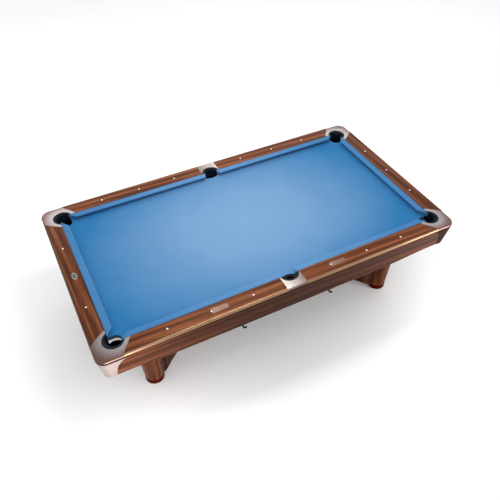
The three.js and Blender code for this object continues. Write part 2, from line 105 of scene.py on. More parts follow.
HOOK_PLATE = 10.5
BADGE_X = -1372
BADGE_ACROSS = 19.5
BADGE_ALONG = 34
BADGE_DOME_SHARE = 0.82

# The camera's, floor's, lights' and materials' sizes are in metres.
CAMERA_PLACE = (-1.4787, -2.9368, 3.7271)
CAMERA_HEADING = (0.3250, 0.6303, -0.7050)
CAMERA_LENS_MM = 39.75
FLOOR_HALF = 40.0
# The cloths' painted pool of light is scaled by these reaches along and across the table.
LIT_POOL_X, LIT_POOL_Y = 1.42, 1.02

SIDES = (("front", -1), ("back", 1))
ENDS = (("left", -1), ("right", 1))
TABLE = "table"


# ---------------- meshes
def add_object(name, data):
    made = bpy.data.objects.new(name, data)
    bpy.context.scene.collection.objects.link(made)
    return made


def mesh_from(name, points_faces, weld):
    """A mesh from points in millimetres, its normals facing out."""
    points, faces = points_faces
    mesh = bpy.data.meshes.new(name)
    mesh.from_pydata([tuple(p) for p in np.asarray(points, float) * MM], [], faces)
    work = bmesh.new()
    work.from_mesh(mesh)
    if weld:
        bmesh.ops.remove_doubles(work, verts=work.verts, dist=2e-5)
        bmesh.ops.dissolve_degenerate(work, edges=work.edges, dist=1e-6)
    bmesh.ops.recalc_face_normals(work, faces=work.faces)
    work.to_mesh(mesh)
    work.free()
    return mesh


def finish_piece(name, mesh, nodes, body, sharp):
    """The piece of a mesh, smooth except at edges sharper than `sharp` degrees."""
    mesh.shade_smooth()
    mesh.set_sharp_from_angle(angle=math.radians(sharp))
    made = add_object(name, mesh)
    made.modifiers.new("normals", "WEIGHTED_NORMAL").keep_sharp = True
    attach(made, body)
    if nodes:
        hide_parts(*nodes)
    return made


def piece(name, points_faces, material, slot, *nodes, body=TABLE, sharp=42):
    mesh = mesh_from(name, points_faces, weld=True)
    mesh.materials.append(material)
    return finish_piece(name, mesh, nodes, body, sharp)


def all_round(quarter, z, first):
    """A closed ring from a quarter of it; `first` holds the signs of the quarter after it."""
    a, b = first
    ring = [(x, y, z) for x, y in quarter]
    ring += [(a * x, b * y, z) for x, y in reversed(quarter[:-1])]
    ring += [(-x, -y, z) for x, y in quarter[1:]]
    ring += [(-a * x, -b * y, z) for x, y in reversed(quarter[1:-1])]
    return ring


def towards(start, end, distance):
    """Points at a distance from start towards end, but at most 0.4 of the way there."""
    step = end - start
    length = np.maximum(np.linalg.norm(step, axis=-1, keepdims=True), 1e-9)
    return start + step * np.minimum(distance / length, 0.4)


def with_border(grid, width, axis):
    """The grid with one more row just inside each of its two borders across `axis`."""
    rows = np.moveaxis(grid, axis, 0)
    near = towards(rows[0], rows[1], width)
    far = towards(rows[-1], rows[-2], width)
    rows = np.concatenate([rows[:1], near[None], rows[1:-1], far[None], rows[-1:]])
    return np.moveaxis(rows, 0, axis)


def chamfered(outer, inner, width):
    """Both grids with a border row, and the outer one's border let down towards the inner one."""
    for axis in (0, 1):
        outer = with_border(outer, width, axis)
        inner = with_border(inner, width, axis)
    border = np.ones(outer.shape[:2], bool)
    border[1:-1, 1:-1] = False
    return np.where(border[..., None], towards(outer, inner, width), outer), inner


def shell(outer, inner, chamfer=0.0):
    """Points and faces of the closed solid between two grids of the same shape."""
    outer, inner = np.asarray(outer, float), np.asarray(inner, float)
    if chamfer:
        outer, inner = chamfered(outer, inner, chamfer)
    m, n = outer.shape[:2]
    points = np.concatenate([outer.reshape(-1, 3), inner.reshape(-1, 3)])
    far = m * n
    faces = []
    for i in range(m - 1):
        for j in range(n - 1):
            face = (i * n + j, (i + 1) * n + j, (i + 1) * n + j + 1, i * n + j + 1)
            faces.append(face)
            faces.append(tuple(far + k for k in reversed(face)))
    border = [i * n for i in range(m)] + [(m - 1) * n + j for j in range(1, n)]
    border += [i * n + n - 1 for i in range(m - 2, -1, -1)] + list(range(n - 2, 0, -1))
    for a, b in zip(border, border[1:] + border[:1]):
        faces.append((b, a, far + a, far + b))
    return points, faces


def loft(rings, caps=True):
    """Points and faces of closed rings of equal count joined one to the next."""
    rings = np.asarray(rings, float)
    m, n = rings.shape[:2]
    faces = []
    for i in range(m - 1):
        for j in range(n):
            k = (j + 1) % n
            faces.append((i * n + j, i * n + k, (i + 1) * n + k, (i + 1) * n + j))
    if caps:
        faces.append(tuple(reversed(range(n))))
        faces.append(tuple(range((m - 1) * n, m * n)))
    return rings.reshape(-1, 3), faces


def arc(x, y, radius, turns):
    """Plan points round a circle at the given turns."""
    return [(x + radius * math.cos(a), y + radius * math.sin(a)) for a in turns]


def turned(profile, sides, x=0.0, y=0.0):
    """Rings of a profile of (radius, z) turned about a vertical axis at x, y."""
    turns = np.linspace(0, 2 * math.pi, sides, endpoint=False)
    return np.array([[(*point, z) for point in arc(x, y, r, turns)] for r, z in profile])


def at_height(plan, z):
    """A grid of plan points with their heights added: one for all, or an array of them."""
    return np.concatenate([plan, np.broadcast_to(z, plan.shape[:-1])[..., None]], axis=-1)


def mirroring(sign_x, sign_y):
    """A function that mirrors points and faces from the first quarter into another."""
    def flip(points_faces):
        points, faces = points_faces
        return points * (sign_x, sign_y, 1), faces

    return flip


def through(points, count):
    """A smooth curve (Catmull-Rom) through the points, at `count` even steps."""
    points = np.asarray(points, float)
    before, after = 2 * points[0] - points[1], 2 * points[-1] - points[-2]
    padded = np.concatenate([[before], points, [after]])
    result = []
    for t in np.linspace(0, len(points) - 1, count):
        i = min(int(t), len(points) - 2)
        u = t - i
        a, b, c, d = padded[i:i + 4]
        curve = 2 * b + (c - a) * u + (2 * a - 5 * b + 4 * c - d) * u**2
        result.append((curve + (3 * b - a - 3 * c + d) * u**3) / 2)
    return np.array(result)


def smooth_step(value, low, high):
    t = np.clip((value - low) / (high - low), 0, 1)
    return t * t * (3 - 2 * t)


# ---------------- the table's outline
def quarter_path(inset, radius, x_from, y_to, straight, bend):
    """Plan points round a quarter of the outline: along +X, round the corner, back along -Y."""
    centre_x, centre_y = TABLE_X - inset - radius, TABLE_Y - inset - radius
    points = [(x, TABLE_Y - inset) for x in np.linspace(x_from, centre_x, straight)]
    points += arc(centre_x, centre_y, radius, np.linspace(math.pi / 2, 0, bend)[1:])
    return points + [(TABLE_X - inset, y) for y in np.linspace(centre_y, y_to, straight)[1:]]


def from_outline(x, y):
    """How far a plan point stands in from the table's outline."""
    corner_x = np.abs(x) - (TABLE_X - CORNER_R)
    corner_y = np.abs(y) - (TABLE_Y - CORNER_R)
    outside = np.hypot(np.maximum(corner_x, 0), np.maximum(corner_y, 0))
    return CORNER_R - (outside + np.minimum(np.maximum(corner_x, corner_y), 0))


def edge_drop(distance):
    """How far the rounded edge lies below the rail top at a distance in from the outline."""
    reach = np.clip((TRIM_DEPTH - distance) / TRIM_DEPTH, 0, 1)
    return ROUND_DROP * (1 - np.sqrt(1 - reach**2))


# ---------------- materials
def fill(node, **values):
    for key, value in values.items():
        node.inputs[key.replace("_", " ")].default_value = value


class Nodes:
    """A short way to write a material's node tree."""

    def __init__(self, name):
        self.material = bpy.data.materials.new(name)
        self.material.use_nodes = True
        self.tree = self.material.node_tree
        self.shader = self.tree.nodes["Principled BSDF"]
        self.place = self.add("ShaderNodeTexCoord").outputs["Object"]

    def add(self, kind, **settings):
        node = self.tree.nodes.new(kind)
        for key, value in settings.items():
            setattr(node, key, value)
        return node

    def link(self, source, target):
        self.tree.links.new(source, target)

    def set(self, **values):
        fill(self.shader, **values)

    def stretched(self, scale=(1, 1, 1), offset=(0, 0, 0), turn=(0, 0, 0)):
        node = self.add("ShaderNodeMapping")
        fill(node, Scale=scale, Location=offset, Rotation=turn)
        self.link(self.place, node.inputs["Vector"])
        return node.outputs["Vector"]

    def noise(self, vector, scale, detail, roughness, distortion=0.0):
        """Noise over a stretched place, or over the plain one where `vector` is None."""
        node = self.add("ShaderNodeTexNoise")
        fill(node, Scale=scale, Detail=detail, Roughness=roughness, Distortion=distortion)
        self.link(self.stretched() if vector is None else vector, node.inputs["Vector"])
        return node.outputs["Fac"]

    def wave(self, vector, scale, distortion, detail, direction="X"):
        node = self.add("ShaderNodeTexWave", bands_direction=direction)
        fill(node, Scale=scale, Distortion=distortion, Detail=detail)
        self.link(vector, node.inputs["Vector"])
        return node.outputs["Fac"]

    def ramp(self, factor, *stops):
        node = self.add("ShaderNodeValToRGB")
        elements = node.color_ramp.elements
        while len(elements) < len(stops):
            elements.new(0.5)
        for element, (position, color) in zip(elements, stops):
            element.position = position
            element.color = (*color, 1) if len(color) == 3 else color
        self.link(factor, node.inputs["Fac"])
        return node.outputs["Color"]

    def spread(self, factor, low, high, start, end):
        """The factor mapped from start and end to low and high."""
        node = self.add("ShaderNodeMapRange")
        fill(node, From_Min=start, From_Max=end, To_Min=low, To_Max=high)
        self.link(factor, node.inputs["Value"])
        return node.outputs["Result"]

    def feed(self, socket, value):
        """Set the socket to a number or a colour, or link it to another node's output."""
        if isinstance(value, (int, float)):
            socket.default_value = value
        elif isinstance(value, tuple):
            socket.default_value = (*value, 1)
        else:
            self.link(value, socket)

    def math(self, operation, a, b):
        node = self.add("ShaderNodeMath", operation=operation)
        self.feed(node.inputs[0], a)
        self.feed(node.inputs[1], b)
        return node.outputs["Value"]

    def mix(self, factor, a, b, blend="MIX"):
        node = self.add("ShaderNodeMix", data_type="RGBA", blend_type=blend)
        colors = [s for s in node.inputs if s.type == "RGBA"]
        factors = [s for s in node.inputs if s.type == "VALUE"]
        for socket, value in ((factors[0], factor), (colors[0], a), (colors[1], b)):
            self.feed(socket, value)
        return [s for s in node.outputs if s.type == "RGBA"][0]

    def bump(self, height, strength, distance):
        node = self.add("ShaderNodeBump")
        fill(node, Strength=strength, Distance=distance)
        self.link(height, node.inputs["Height"])
        self.link(node.outputs["Normal"], self.shader.inputs["Normal"])

    def along(self, direction, *stops):
        """A colour that changes along a plan direction; stops are (metres, colour)."""
        reach = self.add("ShaderNodeVectorMath", operation="DOT_PRODUCT")
        self.link(self.place, reach.inputs[0])
        reach.inputs[1].default_value = direction
        low, high = stops[0][0], stops[-1][0]
        share = self.spread(reach.outputs["Value"], 0.0, 1.0, low, high)
        return self.ramp(share, *(((at - low) / (high - low), color) for at, color in stops))

    def out(self, socket, name):
        self.link(socket, self.shader.inputs[name])


GRAIN_SCALE = {"X": (0.32, 11.0, 11.0), "Y": (11.0, 0.32, 11.0), "Z": (11.0, 11.0, 0.4)}


def walnut(name, grain, tone, red=1.0, gloss=0.34, specular=0.11, offset=(0, 0, 0), tones=()):
    """Lacquered walnut with its grain along one axis: broad bands, streaks and fine pores.

    `tones` are painted along X, and stand in for the shade that the photograph shows there.
    """
    n = Nodes(name)

    def finer(times):
        return n.stretched(tuple(times * v for v in GRAIN_SCALE[grain]), offset)

    broad = n.noise(finer(1), 1.0, 4, 0.55, 0.25)
    streak = n.noise(finer(6), 1.0, 5, 0.6, 0.1)
    pores = n.noise(finer(34), 1.0, 2, 0.6)
    warp = n.wave(finer(0.9), 1.1, 7.0, 3.0, "DIAGONAL")
    figure = n.math("ADD", n.math("MULTIPLY", broad, 0.42), n.math("MULTIPLY", streak, 0.58))
    figure = n.math("ADD", n.math("MULTIPLY", figure, 0.82), n.math("MULTIPLY", warp, 0.18))

    def shade(r, g, b):
        return (r * tone * red, g * tone, b * tone)

    color = n.ramp(
        figure,
        (0.36, shade(0.044, 0.0105, 0.0040)),
        (0.44, shade(0.088, 0.0235, 0.0080)),
        (0.52, shade(0.134, 0.0370, 0.0130)),
        (0.63, shade(0.210, 0.0700, 0.0270)),
    )
    dark_pores = n.ramp(pores, (0.36, (0.62, 0.58, 0.55)), (0.5, (1, 1, 1)))
    color = n.mix(0.8, color, dark_pores, "MULTIPLY")
    if tones:
        color = n.mix(1.0, color, n.along((1, 0, 0), *tones), "MULTIPLY")
    n.out(color, "Base Color")
    n.out(n.spread(streak, gloss - 0.06, gloss + 0.1, 0.3, 0.7), "Roughness")
    n.bump(n.math("ADD", n.math("MULTIPLY", pores, 0.6), streak), 0.18, 0.0004)
    n.set(Specular_IOR_Level=specular, Specular_Tint=(1.0, 0.80, 0.62, 1.0))
    return n.material


def worsted(name, lit_middle, deep):
    """Billiard cloth: fine twill, paler towards the table's middle as a painted pool of light."""
    n = Nodes(name)
    length = n.add("ShaderNodeVectorMath", operation="LENGTH")
    n.link(n.stretched((1 / LIT_POOL_X, 1 / LIT_POOL_Y, 0)), length.inputs[0])
    cloud = n.noise(None, 3.0, 4, 0.55)
    fuzz = n.noise(None, 60.0, 3, 0.6)
    distance = n.math("ADD", length.outputs["Value"], n.spread(cloud, -0.05, 0.05, 0.3, 0.7))
    color = n.ramp(
        distance,
        (0.0, lit_middle),
        *((at, tuple((1 - share) * p + share * d for p, d in zip(lit_middle, deep)))
          for at, share in ((0.35, 0.14), (0.62, 0.5))),
        (0.95, deep),
    )
    mottled = n.ramp(fuzz, (0.3, (0.93, 0.95, 0.97)), (0.7, (1.0, 1.0, 1.0)))
    n.out(n.mix(1.0, color, mottled, "MULTIPLY"), "Base Color")
    n.out(n.spread(fuzz, 0.78, 0.92, 0.3, 0.7), "Roughness")
    twill = n.wave(n.stretched(turn=(0, 0, 0.9)), 420.0, 0.6, 1.0)
    n.bump(n.math("ADD", n.math("MULTIPLY", twill, 0.7), fuzz), 0.10, 0.0002)
    n.set(Specular_IOR_Level=0.1, Sheen_Weight=0.05, Sheen_Roughness=0.5)
    n.set(Sheen_Tint=(0.75, 0.88, 1.0, 1.0))
    return n.material


def metal(name, color, warm, rough, grain=(1, 1, 1), edge=None, outer=None, tones=()):
    """Satin metal: brushed lines, soft clouding and smudges.

    `edge` is a colour it turns to between two heights, `outer` one it turns to away from the
    corner pockets, and `tones` lists plan directions, each with the tones painted along it.
    All three are painted: reflections on the castings, and shade on the strips' lower faces.
    """
    n = Nodes(name)
    cloud = n.noise(None, 9.0, 4, 0.55)
    brushed = n.noise(n.stretched(grain), 220.0, 3, 0.6)
    smudge = n.noise(None, 30.0, 4, 0.6, 0.4)
    tint = n.mix(n.spread(cloud, 0.0, 1.0, 0.35, 0.65), color, warm)
    if outer:
        plan = n.add("ShaderNodeVectorMath", operation="ABSOLUTE")
        n.link(n.stretched((1, 1, 0)), plan.inputs[0])
        away = n.add("ShaderNodeVectorMath", operation="DISTANCE")
        n.link(plan.outputs["Vector"], away.inputs[0])
        away.inputs[1].default_value = (CORNER_POCKET["x"] * MM, CORNER_POCKET["y"] * MM, 0)
        tint = n.mix(n.spread(away.outputs["Value"], 0.0, 1.0, 0.090, 0.150), tint, outer)
    for direction, *stops in tones:
        tint = n.mix(1.0, tint, n.along(direction, *stops), "MULTIPLY")
    if edge:
        split = n.add("ShaderNodeSeparateXYZ")
        n.link(n.place, split.inputs["Vector"])
        edge_color, low, high = edge
        tint = n.mix(n.spread(split.outputs["Z"], 1.0, 0.0, low, high), tint, edge_color)
    n.out(tint, "Base Color")
    n.out(n.spread(smudge, rough - 0.03, rough + 0.05, 0.3, 0.7), "Roughness")
    n.bump(brushed, 0.015, 0.0001)
    n.set(Metallic=1.0)
    return n.material


def moulded(name, dark, light, rough, specular, tint=(1.0, 0.85, 0.75)):
    """Moulded rubber or plastic: fine pebbled skin and a little dust."""
    n = Nodes(name)
    cloud = n.noise(None, 14.0, 4, 0.55)
    pebble = n.noise(None, 320.0, 3, 0.6)
    n.out(n.mix(n.spread(cloud, 0.0, 1.0, 0.35, 0.65), dark, light), "Base Color")
    n.out(n.spread(cloud, rough - 0.06, rough + 0.08, 0.3, 0.7), "Roughness")
    n.bump(pebble, 0.12, 0.0003)
    n.set(Specular_IOR_Level=specular, Specular_Tint=(*tint, 1.0))
    return n.material


def pearl(name):
    n = Nodes(name)
    swirl = n.noise(None, 240.0, 4, 0.6, 1.5)
    n.out(n.ramp(swirl, (0.35, (0.80, 0.78, 0.72)), (0.65, (0.97, 0.97, 0.94))), "Base Color")
    n.out(n.spread(swirl, 0.18, 0.3, 0.3, 0.7), "Roughness")
    n.bump(swirl, 0.05, 0.0001)
    n.set(Coat_Weight=0.4, Coat_Roughness=0.1)
    return n.material


def stone(name):
    n = Nodes(name)
    cloud = n.noise(n.stretched((1, 1, 6)), 7.0, 6, 0.6)
    grit = n.noise(None, 180.0, 3, 0.6)
    n.out(n.ramp(cloud, (0.35, (0.10, 0.11, 0.12)), (0.65, (0.19, 0.20, 0.22))), "Base Color")
    n.out(n.spread(grit, 0.6, 0.8, 0.3, 0.7), "Roughness")
    n.bump(grit, 0.3, 0.0006)
    return n.material


RAIL_WOOD = walnut("walnut_long", "X", tone=1.1)
END_WOOD = walnut("walnut_end", "Y", tone=0.92)
# Painted shade: the long aprons are darker towards their middle than at their ends.
APRON_SHADE_TONES = ((-1.25, (1.0, 0.96, 0.85)), (-0.9, (0.74, 0.68, 0.58)), (-0.4, (0.46, 0.40, 0.34)),
               (0.15, (0.46, 0.39, 0.33)), (0.6, (0.64, 0.54, 0.44)), (1.3, (0.90, 0.70, 0.56)))
APRON_WOOD = walnut("walnut_apron_long", "X", tone=0.72, specular=0.05, offset=(3.1, 0, 1.7),
                    tones=APRON_SHADE_TONES)
APRON_END_WOOD = walnut("walnut_apron_end", "Y", tone=0.70, specular=0.05, offset=(0, 2.3, 0.9))
LEG_WOOD = walnut("walnut_leg", "Z", tone=0.85, specular=0.08, offset=(0.4, 0.2, 5.1))
# Painted shade: the legs' flanks are the column's walnut at about half its tone.
WING_SHADE_WOOD = walnut("walnut_leg_flank_shaded", "Z", tone=0.42, specular=0.06, offset=(1.4, 0.9, 2.1))
# Painted shade: walnut made nearly black for the shadow in the recess below the strips.
RECESS_SHADE_WOOD = walnut("walnut_recess_shaded", "X", tone=0.04, specular=0.02)
# Painted shade: nearly black walnut for the aprons' inner faces, inside the shaded table.
INSIDE_SHADE_WOOD = walnut("walnut_inside_shaded", "X", tone=0.1, specular=0.02)
FRAME_WOOD = walnut("frame_timber", "X", tone=0.7, red=0.85, gloss=0.6, specular=0.1)
# Painted light: both cloths are paler towards the table's middle.
BED_CLOTH = worsted("bed_worsted", (0.129, 0.241, 0.393), (0.019, 0.137, 0.317))
CUSHION_CLOTH = worsted("cushion_worsted", (0.120, 0.240, 0.420), (0.042, 0.155, 0.330))
# Painted reflection: the castings turn pinkish brown low on their rolled rims.
RIM_REFLECTION_TINT = ((0.17, 0.085, 0.07), 0.807, 0.8185)
# Painted reflection: brown away from the pockets, darker at near left, lighter at near right.
CASTING = metal("corner_casting_metal", (0.36, 0.335, 0.335), (0.33, 0.295, 0.29), 0.3, (1, 9, 1),
                RIM_REFLECTION_TINT, (0.185, 0.120, 0.108),
                (((1, 1.5, 0), (-2.5, (0.72, 0.68, 0.68)), (-0.6, (1.0, 1.0, 1.0)),
                  (0.6, (1.18, 1.14, 1.14)), (2.5, (1.0, 1.0, 1.0))),))
# Painted reflection: each side casting is lighter towards one end and darker towards the other.
SIDE_CASTINGS = {
    side: metal(f"side_casting_metal_{side}", (0.38, 0.35, 0.345), (0.33, 0.28, 0.27), 0.28,
                (1, 9, 1), RIM_REFLECTION_TINT, None,
                (((sign, 0, 0), (-0.07, (1.35, 1.35, 1.30)), (0.07, (0.62, 0.52, 0.50))),))
    for side, sign in (("front", 1), ("back", -1))
}
# Painted shade: the strip darkens towards its lower face.
STRIP = metal("strip_metal", (0.36, 0.215, 0.13), (0.29, 0.17, 0.10), 0.3, (0.05, 1, 1),
              ((0.22, 0.12, 0.065), 0.799, 0.812))
# Painted shade: the end strips are the long strips' metal at about a third of its brightness.
SHADED_END_STRIP = metal("end_strip_metal_shaded", (0.13, 0.07, 0.045), (0.10, 0.05, 0.03), 0.35, (1, 0.05, 1),
                  ((0.02, 0.01, 0.006), 0.806, 0.816))
COVER = metal("cover_metal", (0.50, 0.40, 0.375), (0.44, 0.35, 0.325), 0.36, (1, 1, 9))
# Painted reflection: the near right cover alone is made dark, for the dark things it reflects.
# For the near right cover alone, which is dark in the photograph, perhaps by reflection.
DARK_REFLECTION_COVER = moulded("dark_cover_painted_reflection", (0.016, 0.006, 0.004), (0.034, 0.014, 0.009), 0.5, 0.03)
BADGE = metal("badge_metal", (0.42, 0.41, 0.40), (0.33, 0.32, 0.31), 0.3)
BADGE_DOME = metal("badge_dome_metal", (0.085, 0.095, 0.10), (0.20, 0.20, 0.20), 0.35)
PLATE = metal("plate_metal", (0.235, 0.145, 0.115), (0.19, 0.11, 0.085), 0.6, (0.1, 1, 1))
LINER = moulded("liner_rubber", (0.004, 0.006, 0.009), (0.008, 0.011, 0.015), 0.5, 0.04,
                (0.9, 0.95, 1.0))
LINER_BEAD = moulded("liner_bead", (0.017, 0.021, 0.026), (0.030, 0.036, 0.042), 0.42, 0.15,
                     (0.9, 0.95, 1.0))
POCKET = moulded("pocket_plastic", (0.002, 0.002, 0.0025), (0.005, 0.005, 0.006), 0.6, 0.05)
FOOT = moulded("foot_plastic", (0.045, 0.0035, 0.0012), (0.075, 0.005, 0.001), 0.4, 0.02,
              (1.0, 0.5, 0.3))
HOOK = moulded("hook_enamel", (0.002, 0.002, 0.0022), (0.005, 0.005, 0.0055), 0.5, 0.05)
SIGHT = pearl("sight_pearl")
SLATE = stone("slate_stone")


# ---------------- rails, strips and castings
def between_curves(start, end, top, bottom, steps):
    """Grids of a slab whose plan runs from one curve to another, `steps` stations long."""
    start, end = np.asarray(start, float), np.asarray(end, float)
    shares = np.linspace(0, 1, steps)[:, None, None]
    plan = start[None] * (1 - shares) + end[None] * shares
    return at_height(plan, top), at_height(plan, bottom)


def rail(start, joint):
    lower = RAIL_TOP - TRIM_HEIGHT + GAP
    return shell(*between_curves(start, joint, RAIL_TOP, lower, 24), chamfer=0.9)


def long_rail():
    joint = through(LONG_JOINT[:4], 15)
    joint[:, 1] = np.clip(joint[:, 1], WOOD_Y, TABLE_Y - TRIM_DEPTH - GAP)
    return rail([(SIDE_REGION + GAP, y) for y in joint[:, 1]], joint)


def end_rail():
    joint = through(END_JOINT[:4], 15)
    joint[:, 0] = np.clip(joint[:, 0], WOOD_X, TABLE_X - TRIM_DEPTH - GAP)
    return rail(joint * (1, -1), joint)


def edge_strip(shares, place):
    """A strip along the rails' outer edge; `place` gives its plan point from inset and share."""
    insets = TRIM_DEPTH * (1 - np.sin(np.linspace(0, math.pi / 2, 10)))
    section = [(TRIM_DEPTH - 0.4, 0)] + [(inset, edge_drop(inset)) for inset in insets[1:]]
    section += [(0, 19), (0, 22.5), (0.7, 24.3), (2, TRIM_HEIGHT), (TRIM_DEPTH, TRIM_HEIGHT),
                (TRIM_DEPTH, 0.5)]
    return loft([
        [(*place(inset, share), RAIL_TOP - below) for inset, below in section] for share in shares
    ])


def long_strip():
    start = SIDE_REGION + GAP
    (inner, _), (outer, _) = LONG_JOINT[3:]

    def place(inset, share):
        end = inner + (outer - inner) * (1 - inset / TRIM_DEPTH)
        return start + (end - start) * share, TABLE_Y - inset

    return edge_strip(np.linspace(0, 1, 20), place)


def end_strip():
    (_, inner), (_, outer) = END_JOINT[3:]

    def place(inset, share):
        return TABLE_X - inset, (inner + (outer - inner) * (1 - inset / TRIM_DEPTH)) * share

    return edge_strip(np.linspace(-1, 1, 24), place)


CASTING_ROWS = (0, 0.012, 0.03, 0.055, 0.085, 0.12, 0.17, 0.24, 0.33, 0.44, 0.57, 0.71, 0.85,
                0.94, 1.0)


def casting_shell(pocket, outline, field_x, field_y, crown):
    """A casting's solid from its outer plan outline, open towards the bed round its pocket."""
    centre = np.array([pocket["x"], pocket["y"]], float)
    radius = pocket["liner"] + GAP
    columns = []
    for point in outline:
        ray = point - centre
        reach = np.linalg.norm(ray)
        unit = ray / reach
        start = radius
        if (field_x is None or unit[0] < 0) and centre[1] + start * unit[1] < field_y:
            start = (field_y - centre[1]) / unit[1]
        if field_x is not None and unit[1] < 0 and centre[0] + start * unit[0] < field_x:
            start = (field_x - centre[0]) / unit[0]
        start = min(start, reach - 1.2)
        columns.append([centre + unit * (reach + (start - reach) * s) for s in CASTING_ROWS])
    plan = np.array(columns)
    distance = from_outline(plan[..., 0], plan[..., 1])
    share = np.linspace(0, 1, len(plan))[:, None]
    fade = np.clip(1 - distance / CASTING_CROWN_REACH, 0, 1) ** 1.5
    top = RAIL_TOP - edge_drop(distance) - crown * np.sin(math.pi * share) ** 2 * fade
    lower = plan.copy()
    rim = distance < 1
    pull = (plan - centre) / np.linalg.norm(plan - centre, axis=-1, keepdims=True)
    lower[rim] -= 2 * pull[rim]
    bottom = RAIL_TOP - TRIM_HEIGHT
    return shell(at_height(plan, top), at_height(lower, bottom), chamfer=0.8)


def corner_casting():
    long_joint = through(LONG_JOINT, 20) + (2 * GAP, GAP)
    end_joint = through(END_JOINT, 20)[::-1] + (GAP, 2 * GAP)
    long_joint[:, 1] = np.minimum(long_joint[:, 1], TABLE_Y)
    end_joint[:, 0] = np.minimum(end_joint[:, 0], TABLE_X)
    path = quarter_path(0, CORNER_R, long_joint[-1][0], end_joint[0][1], 7, 22)
    outline = np.concatenate([long_joint, path[1:-1], end_joint])
    return casting_shell(CORNER_POCKET, outline, WOOD_X + GAP, WOOD_Y + GAP, CASTING_CROWN)


def side_casting():
    right = [(SIDE_REGION, y) for y in np.linspace(WOOD_Y + GAP, TABLE_Y, 16)]
    edge = [(x, TABLE_Y) for x in np.linspace(SIDE_REGION, -SIDE_REGION, 22)]
    left = [(-x, y) for x, y in reversed(right)]
    outline = np.array(right + edge[1:-1] + left, float)
    return casting_shell(SIDE_POCKET, outline, None, WOOD_Y + GAP, 0.0)


def recess_band():
    """The band set back between the rails and the aprons all round, darkened as painted shade."""
    low, high = APRON_TOP + GAP, RAIL_TOP - TRIM_HEIGHT
    rings = [
        all_round(quarter_path(inset, CORNER_R - inset, 0, 0, 12, 14), z, (1, -1))
        for inset, z in ((RECESS_INSET, low), (RECESS_INSET, high),
                         (RECESS_BACK, high), (RECESS_BACK, low))
    ]
    return loft(rings + rings[:1], caps=False)


# ---------------- bed and cushions
def bed_quarter(inset):
    """The bed's plan outline in the first quarter, stood in by `inset`, from +X round to +Y."""
    pocket = CORNER_POCKET
    inward = pocket["shift"] * math.sqrt(0.5)
    centre = np.array([pocket["x"] - inward, pocket["y"] - inward])
    radius = pocket["drop"] + inset
    chop = CORNER_CHOP - math.sqrt(2) * inset
    beyond = (centre.sum() - chop) / math.sqrt(2)
    half = math.acos(beyond / radius)
    edge_x, edge_y = SLATE_X - inset, SLATE_Y - inset
    points = [(edge_x, y) for y in np.linspace(0, chop - edge_x, 6)]
    points += arc(*centre, radius, np.linspace(half, -half, 30) - 0.75 * math.pi)
    side = SIDE_POCKET
    radius = side["drop"] + inset
    start = math.asin((edge_y - side["drop_y"]) / radius)
    points += [(x, edge_y) for x in np.linspace(chop - edge_y, radius * math.cos(start), 8)[:-1]]
    return points + arc(0, side["drop_y"], radius, np.linspace(start, -math.pi / 2, 22))


def bed_cloth():
    """The cloth over the slates, rolled down over their edges and into the pockets."""
    roll = 3.0
    rows = [(roll * (1 - math.sin(a)) - 0.5, BED_TOP - roll * (1 - math.cos(a)))
            for a in np.linspace(0, math.pi / 2, 6)]
    rows += [(-0.5, BED_TOP - roll - 4), (-0.5, BED_TOP - roll - 8)]
    rings = [all_round(bed_quarter(inset), z, (-1, 1)) for inset, z in rows]
    points, faces = loft(rings, caps=False)
    count = len(points) // len(rows)
    faces.append(tuple(range(count)))
    return points, faces


def cushion_section(depth):
    """A cushion's section, once round, as (depth in from the rail, height above the floor)."""
    nose = BED_TOP + NOSE_HEIGHT
    top = RAIL_TOP - 2 * GAP
    tuck = [(0, top - 6), (1.1, top - 3.2), (2.3, top - 1.2), (4.4, top - 0.3)]
    crown = [(d, top + 0.5 * math.sin(math.pi * d / depth) - 1.6 * (d / depth) ** 3)
             for d in np.linspace(7, depth - 6, 8)]
    tip = 3.4
    rounded = arc(depth - tip, nose - 1, tip, np.linspace(1.15, -1.0, 8))
    under = [(depth - 9, nose - 13), (depth - 18, BED_TOP + 6), (depth - 22, BED_TOP + 1)]
    return tuck + crown + rounded + under + [(0, BED_TOP + 1)]


def jaw_run(depth, degrees):
    return depth / math.tan(math.radians(degrees))


def cushion(depth, ends):
    """A cushion along +X, its back on y = 0; `ends` gives both ends' x from depth and height."""
    section = cushion_section(depth)
    rings = []
    for share in np.linspace(0, 1, 26):
        ring = []
        for d, z in section:
            low, high = ends(d, z)
            ring.append((low + (high - low) * share, -d, z))
        rings.append(ring)
    return loft(rings)


def undercut(z):
    return (RAIL_TOP - z) * math.tan(math.radians(CUSHION_UNDERCUT_DEGREES))


def long_cushion():
    depth = WOOD_Y - GAP - NOSE_Y

    def ends(d, z):
        into = 1 - d / depth
        low = SIDE_MOUTH - jaw_run(depth, SIDE_CUT) * into + undercut(z)
        high = NOSE_X - CORNER_MOUTH + jaw_run(depth, CORNER_CUT) * into - undercut(z)
        return low, high

    points, faces = cushion(depth, ends)
    return points + (0, WOOD_Y - GAP, 0), faces


def end_cushion():
    depth = WOOD_X - GAP - NOSE_X

    def ends(d, z):
        high = NOSE_Y - CORNER_MOUTH + jaw_run(depth, CORNER_CUT) * (1 - d / depth) - undercut(z)
        return -high, high

    points, faces = cushion(depth, ends)
    return np.stack([WOOD_X - GAP + points[:, 1], points[:, 0], points[:, 2]], axis=1), faces


# ---------------- pockets
LINER_PROFILE = (
    (0.0, -0.4), (0.05, 0.0), (0.13, 0.0), (0.17, -1.6), (0.21, -1.7), (0.25, -0.1),
    (0.31, 0.5), (0.37, -0.1), (0.41, -1.7), (0.46, -1.8), (0.55, -1.6), (0.70, -2.8),
    (0.84, -5.6), (0.94, -11.0), (1.0, -20.0),
)


